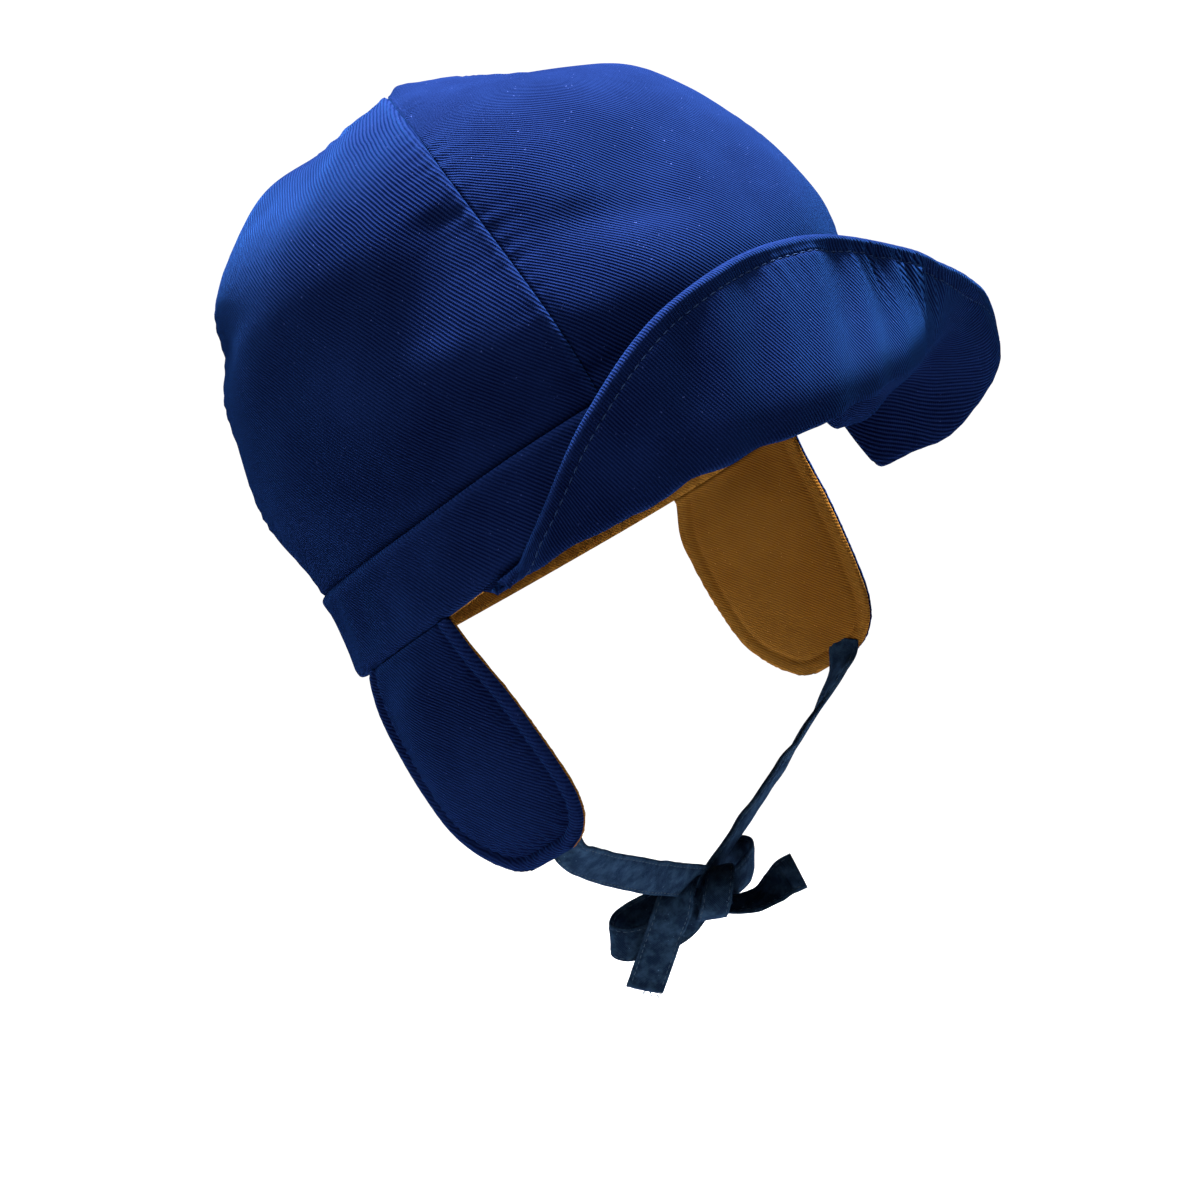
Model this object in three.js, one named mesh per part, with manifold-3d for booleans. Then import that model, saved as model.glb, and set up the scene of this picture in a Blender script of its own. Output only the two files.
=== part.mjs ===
import * as THREE from 'three';
import Module from 'manifold-3d';

// Lined winter cap of blue twill: four-panel crown, band, turned-up peak, padded earflaps and
// cloth ties knotted in a bow. Lengths are in mm and angles in degrees. The cap is shaped in its
// own frame (z up the crown, -y to the front, -x to the wearer's right), then tilted back as worn.
const TILT = 37.5;
const HALF_WIDTH = 95;
const HALF_FRONT = 93.5;
const HALF_BACK = 97;
const PLAN_POWER = 2.2;
const CROWN_HEIGHT = 146.5;
const BAND_HEIGHT = 26;
const BAND_PROUD = 0.9;
const BAND_WALL = 2.6;
const CLOTH = 1.6;
const LINING_CLOTH = 1.2;
const SEAT_GAP = 0.4;
const RIM_LIFT = 4.4;
const SEAM_SINK = 1.3;
const SEAM_REACH = 7;
const FOLD_WIDTH = 10;
const FOLD_SINK = 2;
const HEM_GATHER = 1.2;
const HEM_FOLDS = 12;

const PEAK_HALF_TURN = 82;
const PEAK_HEIGHT = 43;
const PEAK_FLARE = 42;
const PEAK_FOLD_REACH = 7;
const PEAK_FOLD_DROP = 8.4;
const PEAK_CLOTH = 2.6;
const PEAK_PIPING = 3.8;

const FLAP_WIDTH = 60;
const FLAP_LENGTH = 75;
const FLAP_LEAN = 0.16;
const FLAP_EDGE = 2.2;
const FLAP_PADDING = 3.4;
const FLAP_LINING = 1.2;
const FLAP_LINING_PADDING = 1.6;

const TIE_WIDTH = 12.5;
const TIE_CLOTH = 2;
const KNOT_BACK = -31;
const KNOT_DROP = 127;
const KNOT_RADIUS = 7.2;
const BOW_REACH = 20;
const BOW_TURN = -55.5;

const PANEL_COLUMNS = 12;
const PANEL_ROWS = 11;
const PANEL_TIP = 0.992;
const RING_STEPS = 48;
const PEAK_COLUMNS = 30;
const PEAK_ROWS = 9;
const FLAP_ROWS = 12;
const FLAP_COLUMNS = 8;
const STRAP_STEPS = 18;

// Walk runs from the rim (0) to the apex (1); girth is the share of the plan's half sizes there.
const MERIDIAN = [
  { walk: 0, girth: 0.978 },
  { walk: 0.095, girth: 0.965 },
  { walk: 0.2, girth: 1 },
  { walk: 0.32, girth: 0.937 },
  { walk: 0.45, girth: 0.875 },
  { walk: 0.59, girth: 0.715 },
  { walk: 0.735, girth: 0.412 },
  { walk: 1, girth: 0 },
];
// How far the crown leans back at each rise, as a share of HALF_BACK.
const LEAN = [
  { rise: 0, back: 0 },
  { rise: 0.25, back: -0.004 },
  { rise: 0.5, back: 0.028 },
  { rise: 0.75, back: 0.07 },
  { rise: 0.9, back: 0.066 },
  { rise: 1, back: 0.043 },
];
// Height of the rim round the head, from the front (0) to the back (180), in RIM_LIFT.
const RIM = [
  { turn: 0, lift: 0.23 },
  { turn: 20, lift: 0.45 },
  { turn: 40, lift: 0.8 },
  { turn: 60, lift: 0.52 },
  { turn: 90, lift: -0.45 },
  { turn: 120, lift: -0.95 },
  { turn: 150, lift: -1 },
  { turn: 180, lift: -0.95 },
];
// Soft folds of the crown: each a valley between two points, with its half width in FOLD_WIDTH
// and its depth in FOLD_SINK.
const FOLDS = [
  { turn: 64, walk: 0.8, toTurn: 76, toWalk: 0.64, width: 0.5, sink: 1.1 },
  { turn: 52, walk: 0.4, toTurn: 62, toWalk: 0.27, width: 0.8, sink: 1 },
  { turn: 30, walk: 0.3, toTurn: 12, toWalk: 0.26, width: 0.9, sink: 0.9 },
  { turn: 84, walk: 0.13, toTurn: 100, toWalk: 0.24, width: 0.8, sink: 0.8 },
  { turn: -62, walk: 0.45, toTurn: -74, toWalk: 0.25, width: 0.9, sink: 1.2 },
  { turn: -160, walk: 0.5, toTurn: -150, toWalk: 0.25, width: 0.9, sink: 1.1 },
  { turn: 168, walk: 0.13, toTurn: 150, toWalk: 0.3, width: 0.8, sink: 1.2 },
];
// Band section from its lower to its upper edge: share of its height and of its proudness.
const BAND_SECTION = [
  { height: 0, proud: 0.1 },
  { height: 0.07, proud: 1 },
  { height: 0.5, proud: 0.8 },
  { height: 0.93, proud: 1 },
  { height: 1, proud: 0.1 },
];
// Peak from the wearer's left (-1) to the wearer's right (1): its fold and its free edge.
const PEAK = [
  { across: -1, foldOut: 0.5, foldDrop: 0.5, edgeOut: 0.14, edgeUp: -0.42 },
  { across: -0.9, foldOut: 0.62, foldDrop: 0.45, edgeOut: 0.6, edgeUp: -0.8 },
  { across: -0.8, foldOut: 0.75, foldDrop: 0.45, edgeOut: 1, edgeUp: -0.6 },
  { across: -0.6, foldOut: 0.9, foldDrop: 0.6, edgeOut: 0.79, edgeUp: 0.18 },
  { across: -0.35, foldOut: 1, foldDrop: 0.87, edgeOut: 0.39, edgeUp: 0.6 },
  { across: 0, foldOut: 1, foldDrop: 1, edgeOut: 0.2, edgeUp: 1 },
  { across: 0.35, foldOut: 1, foldDrop: 0.83, edgeOut: 0.19, edgeUp: 0.92 },
  { across: 0.6, foldOut: 0.92, foldDrop: 0.7, edgeOut: 0.18, edgeUp: 0.56 },
  { across: 0.8, foldOut: 0.8, foldDrop: 0.48, edgeOut: 0.135, edgeUp: 0.2 },
  { across: 1, foldOut: 0.5, foldDrop: 0.33, edgeOut: 0.12, edgeUp: 0.05 },
];
// Earflap outline from the rim (0) to its lower edge (1), in shares of FLAP_WIDTH.
const FLAP = [
  { depth: 0, front: 0.02, back: 0.85 },
  { depth: 0.15, front: 0.02, back: 0.94 },
  { depth: 0.35, front: 0, back: 0.985 },
  { depth: 0.55, front: 0, back: 1 },
  { depth: 0.72, front: 0.01, back: 0.985 },
  { depth: 0.84, front: 0.035, back: 0.89 },
  { depth: 0.93, front: 0.1, back: 0.76 },
  { depth: 0.98, front: 0.19, back: 0.65 },
  { depth: 1, front: 0.27, back: 0.56 },
];
// Centre lines of the bow from the knot in BOW_REACH: to the side, out to the near side and up,
// then the direction across the strap.
const TAIL_FRONT = [
  { side: 0, near: 0.1, up: 0.25, across: [0.55, 0.2, 0.8] },
  { side: -0.35, near: 0.375, up: 0.25, across: [0.75, 0.2, 0.6] },
  { side: -0.7, near: 0.425, up: -0.1, across: [0.95, 0.1, 0.35] },
  { side: -0.9, near: 0.375, up: -0.575, across: [0.97, 0, 0.25] },
  { side: -1, near: 0.325, up: -1, across: [0.98, 0, 0.2] },
  { side: -1.05, near: 0.275, up: -1.55, across: [0.97, 0, 0.25] },
];
const LOOP_LEFT = [
  { side: 0, near: -0.05, up: -0.05, across: [0.1, -0.2, 1] },
  { side: -0.5, near: -0.25, up: -0.25, across: [0.1, -0.2, 1] },
  { side: -1.05, near: -0.3, up: -0.5, across: [0, -0.1, 1] },
  { side: -1.5, near: -0.125, up: -0.7, across: [-0.05, 0, 1] },
  { side: -1.575, near: 0.075, up: -0.775, across: [-0.08, 0, 1] },
  { side: -1.4, near: 0.19, up: -0.8, across: [-0.05, 0, 1] },
  { side: -0.95, near: 0.175, up: -0.7, across: [0.1, 0, 1] },
  { side: -0.45, near: 0.15, up: -0.425, across: [0.35, 0, 0.9] },
  { side: 0, near: 0.05, up: -0.05, across: [0.5, 0, 0.8] },
];
const LOOP_FAR = [
  { side: 0, near: 0, up: 0, across: [0, 0.1, 1] },
  { side: 0.4, near: -0.4, up: 0.05, across: [0, 0.1, 1] },
  { side: 0.65, near: -0.9, up: 0.075, across: [0, 0.1, 1] },
  { side: 0.65, near: -1.25, up: 0.05, across: [0, 0, 1] },
  { side: 0.475, near: -1.35, up: 0.025, across: [0, 0, 1] },
  { side: 0.3, near: -1.15, up: 0, across: [0, 0, 1] },
  { side: 0.1, near: -0.6, up: 0, across: [0, 0.1, 1] },
  { side: 0, near: 0, up: 0, across: [0, 0.1, 1] },
];
const TAIL_FAR = [
  { side: 0.1, near: 0, up: -0.15, across: [0, -1, 0.1] },
  { side: 0.5, near: -0.05, up: -0.15, across: [0, -1, 0.1] },
  { side: 0.85, near: -0.1, up: -0.05, across: [0.1, -0.95, 0.25] },
  { side: 1.15, near: -0.2, up: 0.1, across: [0.2, -0.85, 0.45] },
  { side: 1.45, near: -0.3, up: 0.275, across: [0.3, -0.75, 0.55] },
];
// Right chin tie from the flap (0) to the bow (1), in the tilted frame; the left one mirrors it.
// It ends beside the knot, in TIE_WIDTH.
const TIE_ACROSS = [0.53, -0.24, 0.82];
const TIE_SAG = 2.5;
const TIE_FROM = { across: 0.19, depth: 1.005 };
const TIE_TO = { side: 0.24, back: 0.16, up: 0.16 };

const rad = THREE.MathUtils.degToRad;
const seat = new THREE.Matrix4().makeRotationX(-rad(TILT));
const { lerp, clamp } = THREE.MathUtils;

function curve(rows, at, key, size = 1) {
  const stops = rows.map((row) => row[at]);
  const values = rows.map((row) => row[key] * size);
  const spline = new THREE.CubicInterpolant(stops, values, 1);
  return (t) => spline.evaluate(clamp(t, stops[0], stops[stops.length - 1]))[0];
}

const girthAt = curve(MERIDIAN, 'walk', 'girth');
const leanAt = curve(LEAN, 'rise', 'back', HALF_BACK);
const rimLiftAt = curve(RIM, 'turn', 'lift', RIM_LIFT);

function walkAtHeight(height) {
  return 1 - Math.sqrt(1 - height / CROWN_HEIGHT);
}

function wrap(turn) {
  return ((turn + 540) % 360) - 180;
}

// Degrees from the nearest crown seam; the seams lie halfway between front, sides and back.
function fromSeam(turn) {
  const quarter = (((turn - 45) % 90) + 90) % 90;
  return Math.min(quarter, 90 - quarter);
}

function foldSink(turn, walk) {
  let sink = 0;
  for (const fold of FOLDS) {
    const run = rad(fold.toTurn - fold.turn) * HALF_WIDTH;
    const climb = (fold.toWalk - fold.walk) * CROWN_HEIGHT * 2;
    const across = rad(turn - fold.turn) * HALF_WIDTH;
    const up = (walk - fold.walk) * CROWN_HEIGHT * 2;
    const along = clamp((across * run + up * climb) / (run * run + climb * climb), 0, 1);
    const off = Math.hypot(across - along * run, up - along * climb);
    const share = off / (fold.width * FOLD_WIDTH);
    sink += fold.sink * FOLD_SINK * Math.exp(-share * share) * (1 - along * 0.5);
  }
  return sink;
}

// A point of the crown's outer face, moved inwards by the inset.
function crownPoint(turn, walk, inset = 0) {
  const girth = girthAt(walk);
  const rise = 1 - (1 - walk) ** 2;
  const step = 0.01;
  const slope = (girthAt(walk + step) - girthAt(walk - step)) / (2 * step) * HALF_WIDTH;
  const normal = new THREE.Vector2(2 * (1 - walk) * CROWN_HEIGHT, -slope).normalize();
  const sin = Math.sin(rad(turn));
  const cos = Math.cos(rad(turn));
  const power = Math.abs(sin) ** PLAN_POWER + Math.abs(cos) ** PLAN_POWER;
  const reach = girth * power ** (-1 / PLAN_POWER);
  const halfDepth = cos > 0 ? HALF_FRONT : HALF_BACK;
  const lift = rimLiftAt(Math.abs(wrap(turn))) * (1 - rise) ** 2;
  const seam = fromSeam(turn) * rad(1) * HALF_WIDTH * girth / SEAM_REACH;
  const aboveBand = clamp((walk - walkAtHeight(BAND_HEIGHT)) * 30, 0, 1);
  const sink = aboveBand * (SEAM_SINK * Math.exp(-seam * seam) + foldSink(wrap(turn), walk));
  const depth = inset + sink * clamp((1 - walk) * 8, 0, 1);
  return new THREE.Vector3(
    -(HALF_WIDTH * reach - depth * normal.x) * sin,
    -(halfDepth * reach - depth * normal.x) * cos + leanAt(rise),
    rise * CROWN_HEIGHT + lift - depth * normal.y,
  );
}

// Joins loops of points into one closed body; its ends are closed by strips or by poles.
function loft(loops, ends) {
  const size = loops[0].length;
  const points = loops.flat();
  const index = [];
  const quad = (a, b, c, d) => index.push(a, b, c, a, c, d);
  const last = ends === 'ring' ? loops.length : loops.length - 1;
  for (let i = 0; i < last; i += 1) {
    const here = i * size;
    const next = ((i + 1) % loops.length) * size;
    for (let j = 0; j < size; j += 1) {
      const k = (j + 1) % size;
      quad(here + j, here + k, next + k, next + j);
    }
  }
  for (const [start, turned] of ends === 'ring' ? [] : [[0, true], [last * size, false]]) {
    const face = turned ? (a, b, c) => index.push(a, c, b) : (a, b, c) => index.push(a, b, c);
    if (ends === 'pole') {
      const loop = loops[start / size];
      const pole = points.length;
      const middle = new THREE.Vector3();
      loop.forEach((point) => middle.addScaledVector(point, 1 / size));
      points.push(middle);
      for (let j = 0; j < size; j += 1) face(start + j, start + ((j + 1) % size), pole);
    } else {
      for (let j = 0; j < size / 2 - 1; j += 1) {
        face(start + j, start + j + 1, start + size - 2 - j);
        face(start + j, start + size - 2 - j, start + size - 1 - j);
      }
    }
  }
  return facingOut(points, index);
}

function facingOut(points, index) {
  let volume = 0;
  for (let i = 0; i < index.length; i += 3) {
    const [a, b, c] = [points[index[i]], points[index[i + 1]], points[index[i + 2]]];
    volume += a.dot(new THREE.Vector3().crossVectors(b, c));
  }
  if (volume < 0) {
    for (let i = 0; i < index.length; i += 3) {
      [index[i + 1], index[i + 2]] = [index[i + 2], index[i + 1]];
    }
  }
  const geometry = new THREE.BufferGeometry().setFromPoints(points);
  geometry.setIndex(index);
  geometry.computeVertexNormals();
  return geometry;
}

function panelWalks() {
  const foot = walkAtHeight(BAND_HEIGHT + SEAT_GAP);
  const rows = [...Array(PANEL_ROWS + 1).keys()];
  return rows.map((row) => lerp(foot, PANEL_TIP, row / PANEL_ROWS));
}

function crownPanel(middleTurn) {
  const loops = [];
  for (let column = 0; column <= PANEL_COLUMNS; column += 1) {
    const share = (column / PANEL_COLUMNS) * 2 - 1;
    const outer = [];
    const inner = [];
    for (const walk of panelWalks()) {
      const seamTurn = THREE.MathUtils.radToDeg(SEAT_GAP / 2 / (girthAt(walk) * HALF_WIDTH));
      const turn = middleTurn + share * (45 - seamTurn);
      outer.push(crownPoint(turn, walk));
      inner.unshift(crownPoint(turn, walk, CLOTH));
    }
    loops.push([...outer, ...inner]);
  }
  return loft(loops, 'strip');
}

function band() {
  const loops = [];
  for (let step = 0; step < RING_STEPS; step += 1) {
    const turn = (step / RING_STEPS) * 360 - 180;
    const outer = BAND_SECTION.map(({ height, proud }) =>
      crownPoint(turn, walkAtHeight(height * BAND_HEIGHT), -proud * BAND_PROUD));
    const inner = [1, 0.5, 0].map((height) =>
      crownPoint(turn, walkAtHeight(height * BAND_HEIGHT), BAND_WALL - BAND_PROUD));
    loops.push([...outer, ...inner]);
  }
  return loft(loops, 'ring');
}

function crownLining() {
  const outset = BAND_WALL - BAND_PROUD + SEAT_GAP;
  const ring = (walk, inset) => {
    const points = [];
    for (let step = 0; step < RING_STEPS; step += 1) {
      const turn = (step / RING_STEPS) * 360 - 180;
      const gather = HEM_GATHER * clamp(1 - walk / walkAtHeight(BAND_HEIGHT), 0, 1);
      const ripple = inset > outset ? gather * (1 + Math.cos(rad(turn) * HEM_FOLDS)) : 0;
      points.push(crownPoint(turn, walk, inset + ripple));
    }
    return points;
  };
  const belowBand = [0, 0.33, 0.67].map((share) => walkAtHeight(share * BAND_HEIGHT));
  const walks = [...belowBand, ...panelWalks()].reverse();
  const outer = walks.map((walk) => ring(walk, outset));
  const inner = walks.map((walk) => ring(walk, outset + LINING_CLOTH)).reverse();
  return loft([...outer, ...inner], 'pole');
}

function peak() {
  const foldOut = curve(PEAK, 'across', 'foldOut', PEAK_FOLD_REACH);
  const foldDrop = curve(PEAK, 'across', 'foldDrop', PEAK_FOLD_DROP);
  const edgeOut = curve(PEAK, 'across', 'edgeOut', PEAK_FLARE);
  const edgeUp = curve(PEAK, 'across', 'edgeUp', PEAK_HEIGHT);
  const loops = [];
  for (let column = 0; column <= PEAK_COLUMNS; column += 1) {
    const across = (column / PEAK_COLUMNS) * 2 - 1;
    const out = foldOut(across);
    const drop = foldDrop(across);
    const edge = new THREE.Vector2(edgeOut(across), edgeUp(across));
    const start = -SEAT_GAP - BAND_PROUD * 0.1;
    const section = new THREE.SplineCurve([
      new THREE.Vector2(0, start),
      new THREE.Vector2(out * 0.25, -drop * 0.75),
      new THREE.Vector2(out * 0.65, -drop),
      new THREE.Vector2(lerp(out, edge.x, 0.1), lerp(-drop * 0.55, edge.y, 0.1)),
      new THREE.Vector2(lerp(out, edge.x, 0.5), lerp(-drop * 0.55, edge.y, 0.5)),
      edge,
    ]);
    const turn = across * PEAK_HALF_TURN;
    const foot = crownPoint(turn, 0, BAND_WALL / 2 - BAND_PROUD);
    const sin = Math.sin(rad(turn));
    const cos = Math.cos(rad(turn));
    const outer = [];
    const inner = [];
    for (let step = 0; step <= PEAK_ROWS; step += 1) {
      const here = section.getPoint(step / PEAK_ROWS);
      const along = section.getTangent(step / PEAK_ROWS);
      const side = step === 0 ? new THREE.Vector2(1, 0) : new THREE.Vector2(-along.y, along.x);
      const rolled = step === PEAK_ROWS - 1 ? PEAK_PIPING : PEAK_CLOTH;
      const half = (step === PEAK_ROWS ? PEAK_CLOTH * 0.7 : rolled) / 2;
      const place = (by) => new THREE.Vector3(
        foot.x - (here.x + side.x * by) * sin,
        foot.y - (here.x + side.x * by) * cos,
        foot.z + here.y + side.y * by,
      );
      outer.push(place(half));
      inner.unshift(place(-half));
    }
    loops.push([...outer, ...inner]);
  }
  return loft(loops, 'strip');
}

const flapFront = curve(FLAP, 'depth', 'front', FLAP_WIDTH);
const flapBack = curve(FLAP, 'depth', 'back', FLAP_WIDTH);

// A point of the right earflap between its cloth and its lining, moved outwards by the offset.
function flapPoint(across, depth, offset) {
  const y = lerp(flapFront(depth), flapBack(depth), across);
  const power = (Math.abs(y) / (HALF_BACK * girthAt(0))) ** PLAN_POWER;
  const rimX = HALF_WIDTH * girthAt(0) * (1 - power) ** (1 / PLAN_POWER);
  const straight = HALF_WIDTH * girthAt(0);
  const curved = lerp(rimX, straight, Math.sqrt(depth) * 0.9) - FLAP_LEAN * depth * FLAP_LENGTH;
  const turn = THREE.MathUtils.radToDeg(Math.atan2(y, rimX)) + 90;
  const foot = rimLiftAt(turn) - SEAT_GAP - BAND_PROUD * 0.1;
  return new THREE.Vector3(-curved - offset, y, foot - depth * FLAP_LENGTH);
}

function earflap(mirror, from, edge, padding) {
  const side = Math.sign(from);
  const loops = [];
  for (let row = 0; row <= FLAP_ROWS; row += 1) {
    const depth = Math.sin((row / FLAP_ROWS) * Math.PI / 2);
    const outer = [];
    const inner = [];
    for (let column = 0; column <= FLAP_COLUMNS; column += 1) {
      const across = column / FLAP_COLUMNS;
      const fill = (4 * across * (1 - across)) ** 0.5 * (1 - (depth * 2 - 1) ** 4) ** 0.5;
      outer.push(flapPoint(across, depth, from + side * (edge + padding * fill)));
      inner.unshift(flapPoint(across, depth, from));
    }
    loops.push([...outer, ...inner]);
  }
  loops.flat().forEach((point) => { point.x *= mirror; });
  return loft(loops, 'strip');
}

function strap(rows, grown = 0) {
  const centre = new THREE.CatmullRomCurve3(rows.map((row) => row.point), false, 'centripetal');
  const wide = new THREE.CatmullRomCurve3(rows.map((row) => row.across), false, 'centripetal');
  const loops = [];
  for (let step = 0; step <= STRAP_STEPS; step += 1) {
    const t = step / STRAP_STEPS;
    const here = centre.getPoint(t);
    const along = centre.getTangent(t);
    const flat = new THREE.Vector3().crossVectors(along, wide.getPoint(t)).normalize();
    const across = new THREE.Vector3().crossVectors(flat, along).normalize();
    const corner = (a, f) => here.clone()
      .addScaledVector(across, a * (TIE_WIDTH / 2 + grown))
      .addScaledVector(flat, f * (TIE_CLOTH / 2 + grown));
    loops.push([
      corner(-1, 0.5), corner(-0.85, 1), corner(0.85, 1), corner(1, 0.5),
      corner(1, -0.5), corner(0.85, -1), corner(-0.85, -1), corner(-1, -0.5),
    ]);
  }
  return loft(loops, 'strip');
}

const knot = new THREE.Vector3(0, KNOT_BACK, -KNOT_DROP);
const bowFrame = new THREE.Matrix4().makeRotationZ(rad(BOW_TURN)).setPosition(knot);

function bowRows(table) {
  const turned = new THREE.Matrix4().extractRotation(bowFrame);
  return table.map(({ side, near, up, across }) => ({
    point: new THREE.Vector3(side, -near, up).multiplyScalar(BOW_REACH).applyMatrix4(bowFrame),
    across: new THREE.Vector3(across[0], -across[1], across[2]).applyMatrix4(turned),
  }));
}

function tieRows(mirror) {
  const start = flapPoint(TIE_FROM.across, TIE_FROM.depth, 0);
  start.z -= TIE_CLOTH;
  start.applyMatrix4(seat);
  const end = new THREE.Vector3(-TIE_TO.side, TIE_TO.back, TIE_TO.up)
    .multiplyScalar(TIE_WIDTH).add(knot);
  const middle = start.clone().lerp(end, 0.5);
  middle.z -= TIE_SAG;
  return [start, middle, end].map((point) => ({
    point: point.multiply(new THREE.Vector3(mirror, 1, 1)),
    across: new THREE.Vector3(TIE_ACROSS[0] * mirror, TIE_ACROSS[1], TIE_ACROSS[2]),
  }));
}

const wasm = await Module();
wasm.setup();

function solid(geometry) {
  return new wasm.Manifold(new wasm.Mesh({
    numProp: 3,
    vertProperties: geometry.getAttribute('position').array,
    triVerts: new Uint32Array(geometry.index.array),
  }));
}

function meshOf(body) {
  const { vertProperties, triVerts } = body.getMesh();
  const geometry = new THREE.BufferGeometry();
  geometry.setAttribute('position', new THREE.BufferAttribute(vertProperties, 3));
  geometry.setIndex(new THREE.BufferAttribute(triVerts, 1));
  geometry.computeVertexNormals();
  return geometry;
}

// The knot with its loops and loose ends, grown on all sides by the given amount.
function bow(grown) {
  const tables = [TAIL_FRONT, LOOP_LEFT, LOOP_FAR, TAIL_FAR];
  const straps = tables.map((table) => solid(strap(bowRows(table), grown)));
  const ball = wasm.Manifold.sphere(KNOT_RADIUS + grown, 20).translate(knot.toArray());
  return wasm.Manifold.union([ball, ...straps]);
}

// A chin tie ends where it meets the bow.
function chinTie(mirror) {
  const bodies = solid(strap(tieRows(mirror))).subtract(bow(SEAT_GAP)).decompose();
  return bodies.reduce((most, body) => (body.volume() > most.volume() ? body : most));
}

const twill = new THREE.MeshStandardMaterial({ color: 0x1c2b66, roughness: 0.9, metalness: 0 });
const gold = new THREE.MeshStandardMaterial({ color: 0x8c6222, roughness: 0.8, metalness: 0 });
const slate = new THREE.MeshStandardMaterial({ color: 0x24405e, roughness: 0.9, metalness: 0 });
twill.name = 'twill_blue';
gold.name = 'lining_gold';
slate.name = 'tie_slate';

const cap = new THREE.Group();
cap.name = 'winter_hat';

function add(name, geometry, material) {
  const mesh = new THREE.Mesh(geometry, material);
  mesh.name = name;
  cap.add(mesh);
}

function addSeated(name, geometry, material) {
  add(name, geometry.applyMatrix4(seat), material);
}

addSeated('crown_front_panel', crownPanel(0), twill);
addSeated('crown_side_panel_right', crownPanel(90), twill);
addSeated('crown_back_panel', crownPanel(180), twill);
addSeated('crown_side_panel_left', crownPanel(-90), twill);
addSeated('band', band(), twill);
addSeated('peak', peak(), twill);
addSeated('lining_crown', crownLining(), gold);
for (const [side, mirror] of [['right', 1], ['left', -1]]) {
  const gap = SEAT_GAP / 2;
  addSeated(`earflap_${side}`, earflap(mirror, gap, FLAP_EDGE, FLAP_PADDING), twill);
  const lining = earflap(mirror, -gap, FLAP_LINING, FLAP_LINING_PADDING);
  addSeated(`lining_flap_${side}`, lining, gold);
  add(`chin_tie_${side}`, meshOf(chinTie(mirror)), slate);
}
add('chin_bow', meshOf(bow(0)), slate);

export default cap;
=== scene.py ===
import math

import bpy
import numpy as np
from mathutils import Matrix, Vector


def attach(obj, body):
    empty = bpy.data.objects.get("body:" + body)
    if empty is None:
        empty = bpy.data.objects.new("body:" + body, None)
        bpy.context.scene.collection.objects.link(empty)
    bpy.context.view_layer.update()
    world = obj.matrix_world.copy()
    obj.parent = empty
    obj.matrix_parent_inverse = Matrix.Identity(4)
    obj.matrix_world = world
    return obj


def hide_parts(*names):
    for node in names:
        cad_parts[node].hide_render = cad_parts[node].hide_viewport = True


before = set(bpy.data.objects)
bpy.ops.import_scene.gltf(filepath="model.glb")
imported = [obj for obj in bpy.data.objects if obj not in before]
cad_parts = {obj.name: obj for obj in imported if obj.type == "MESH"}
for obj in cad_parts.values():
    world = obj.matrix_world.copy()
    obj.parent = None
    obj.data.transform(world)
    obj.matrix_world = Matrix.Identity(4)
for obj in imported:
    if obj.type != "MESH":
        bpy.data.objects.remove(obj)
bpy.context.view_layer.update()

# ---------------------------------------------------------------- sizes of the cap, in mm and degrees
# Walk runs from 0 at the rim to 1 at the apex; turn runs round the head from 0 in front to 90 at the right.
TILT = 37.5
HALF_WIDTH = 95.0
HALF_FRONT = 93.5
HALF_BACK = 97.0
PLAN_POWER = 2.2
CROWN_HEIGHT = 146.5
WALK_LENGTH = 2 * CROWN_HEIGHT
BAND_HEIGHT = 26.0
BAND_PROUD = 0.9
BAND_WALL = 2.6
CLOTH = 1.6
LINING_CLOTH = 1.2
SEAT_GAP = 0.4
PANEL_HALF_TURN = 45
PANEL_TIP = .9985
RIM_LIFT = 4.4
PEAK_HEIGHT = 43.0
PEAK_FLARE = 42.0
PEAK_FOLD_REACH = 7.0
PEAK_FOLD_DROP = 8.4
PEAK_TUCK = 0.9
FLAP_WIDTH = 60.0
FLAP_LENGTH = 75.0
FLAP_LEAN = 0.16
FLAP_ROLL = 2.3
FLAP_STITCH = 5
STITCH_AT = 0.78
TIE_WIDTH = 12.5
TIE_CLOTH = 1.9
STRAP_COLUMNS = 25
KNOT = np.array([0.0, -31.0, -127.0])
BOW_TURN = -55.5
WEAVE_PITCH = 1.05
# relief of the twill in metres, and the beads' and the fibres' shares of it
TWILL_RELIEF = .00032
BEAD_SHARE = .175
FIBRE_SHARE = .35
# noise scales of the cloth, per metre
WANDER_SCALE = 60.0
WORN_SCALE = 900.0
LINT_SCALE = 1500.0
FIBRE_SCALE = 2600.0
# spacing of the small gathers in mm
SEAM_PUCKER = 5.6
HEM_PLEAT = 5.2
PEAK_GATHER = 6.2
FLAP_PUCKER = 6.5
TURN = 2 * math.pi

# walk, then girth as a share of the plan's half sizes
MERIDIAN = ([0, .095, .2, .32, .45, .59, .735, 1], [.978, .965, 1, .937, .875, .715, .412, 0])
# rise, then lean back as a share of HALF_BACK
LEAN = ([0, .25, .5, .75, .9, 1], [0, -.004, .028, .07, .066, .043])
# turn, then lift of the rim in RIM_LIFT
RIM = ([0, 20, 40, 60, 90, 120, 150, 180], [.23, .45, .8, .52, -.45, -.95, -1, -.95])
# height up the band in BAND_HEIGHT, then how far it stands out in BAND_PROUD
BAND_SECTION = [
    (0, .1), (.01, 1.1), (.03, 1.7), (.07, 2.0), (.12, 2.1), (.2, 1.8), (.3, 1.5), (.4, 1.4), (.5, 1.4),
    (.6, 1.45), (.7, 1.6), (.78, 1.8), (.85, 2.0), (.9, 2.1), (.93, 2.1), (.955, 1.95), (.975, 1.5),
    (.99, .9), (1, .1),
]
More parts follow.
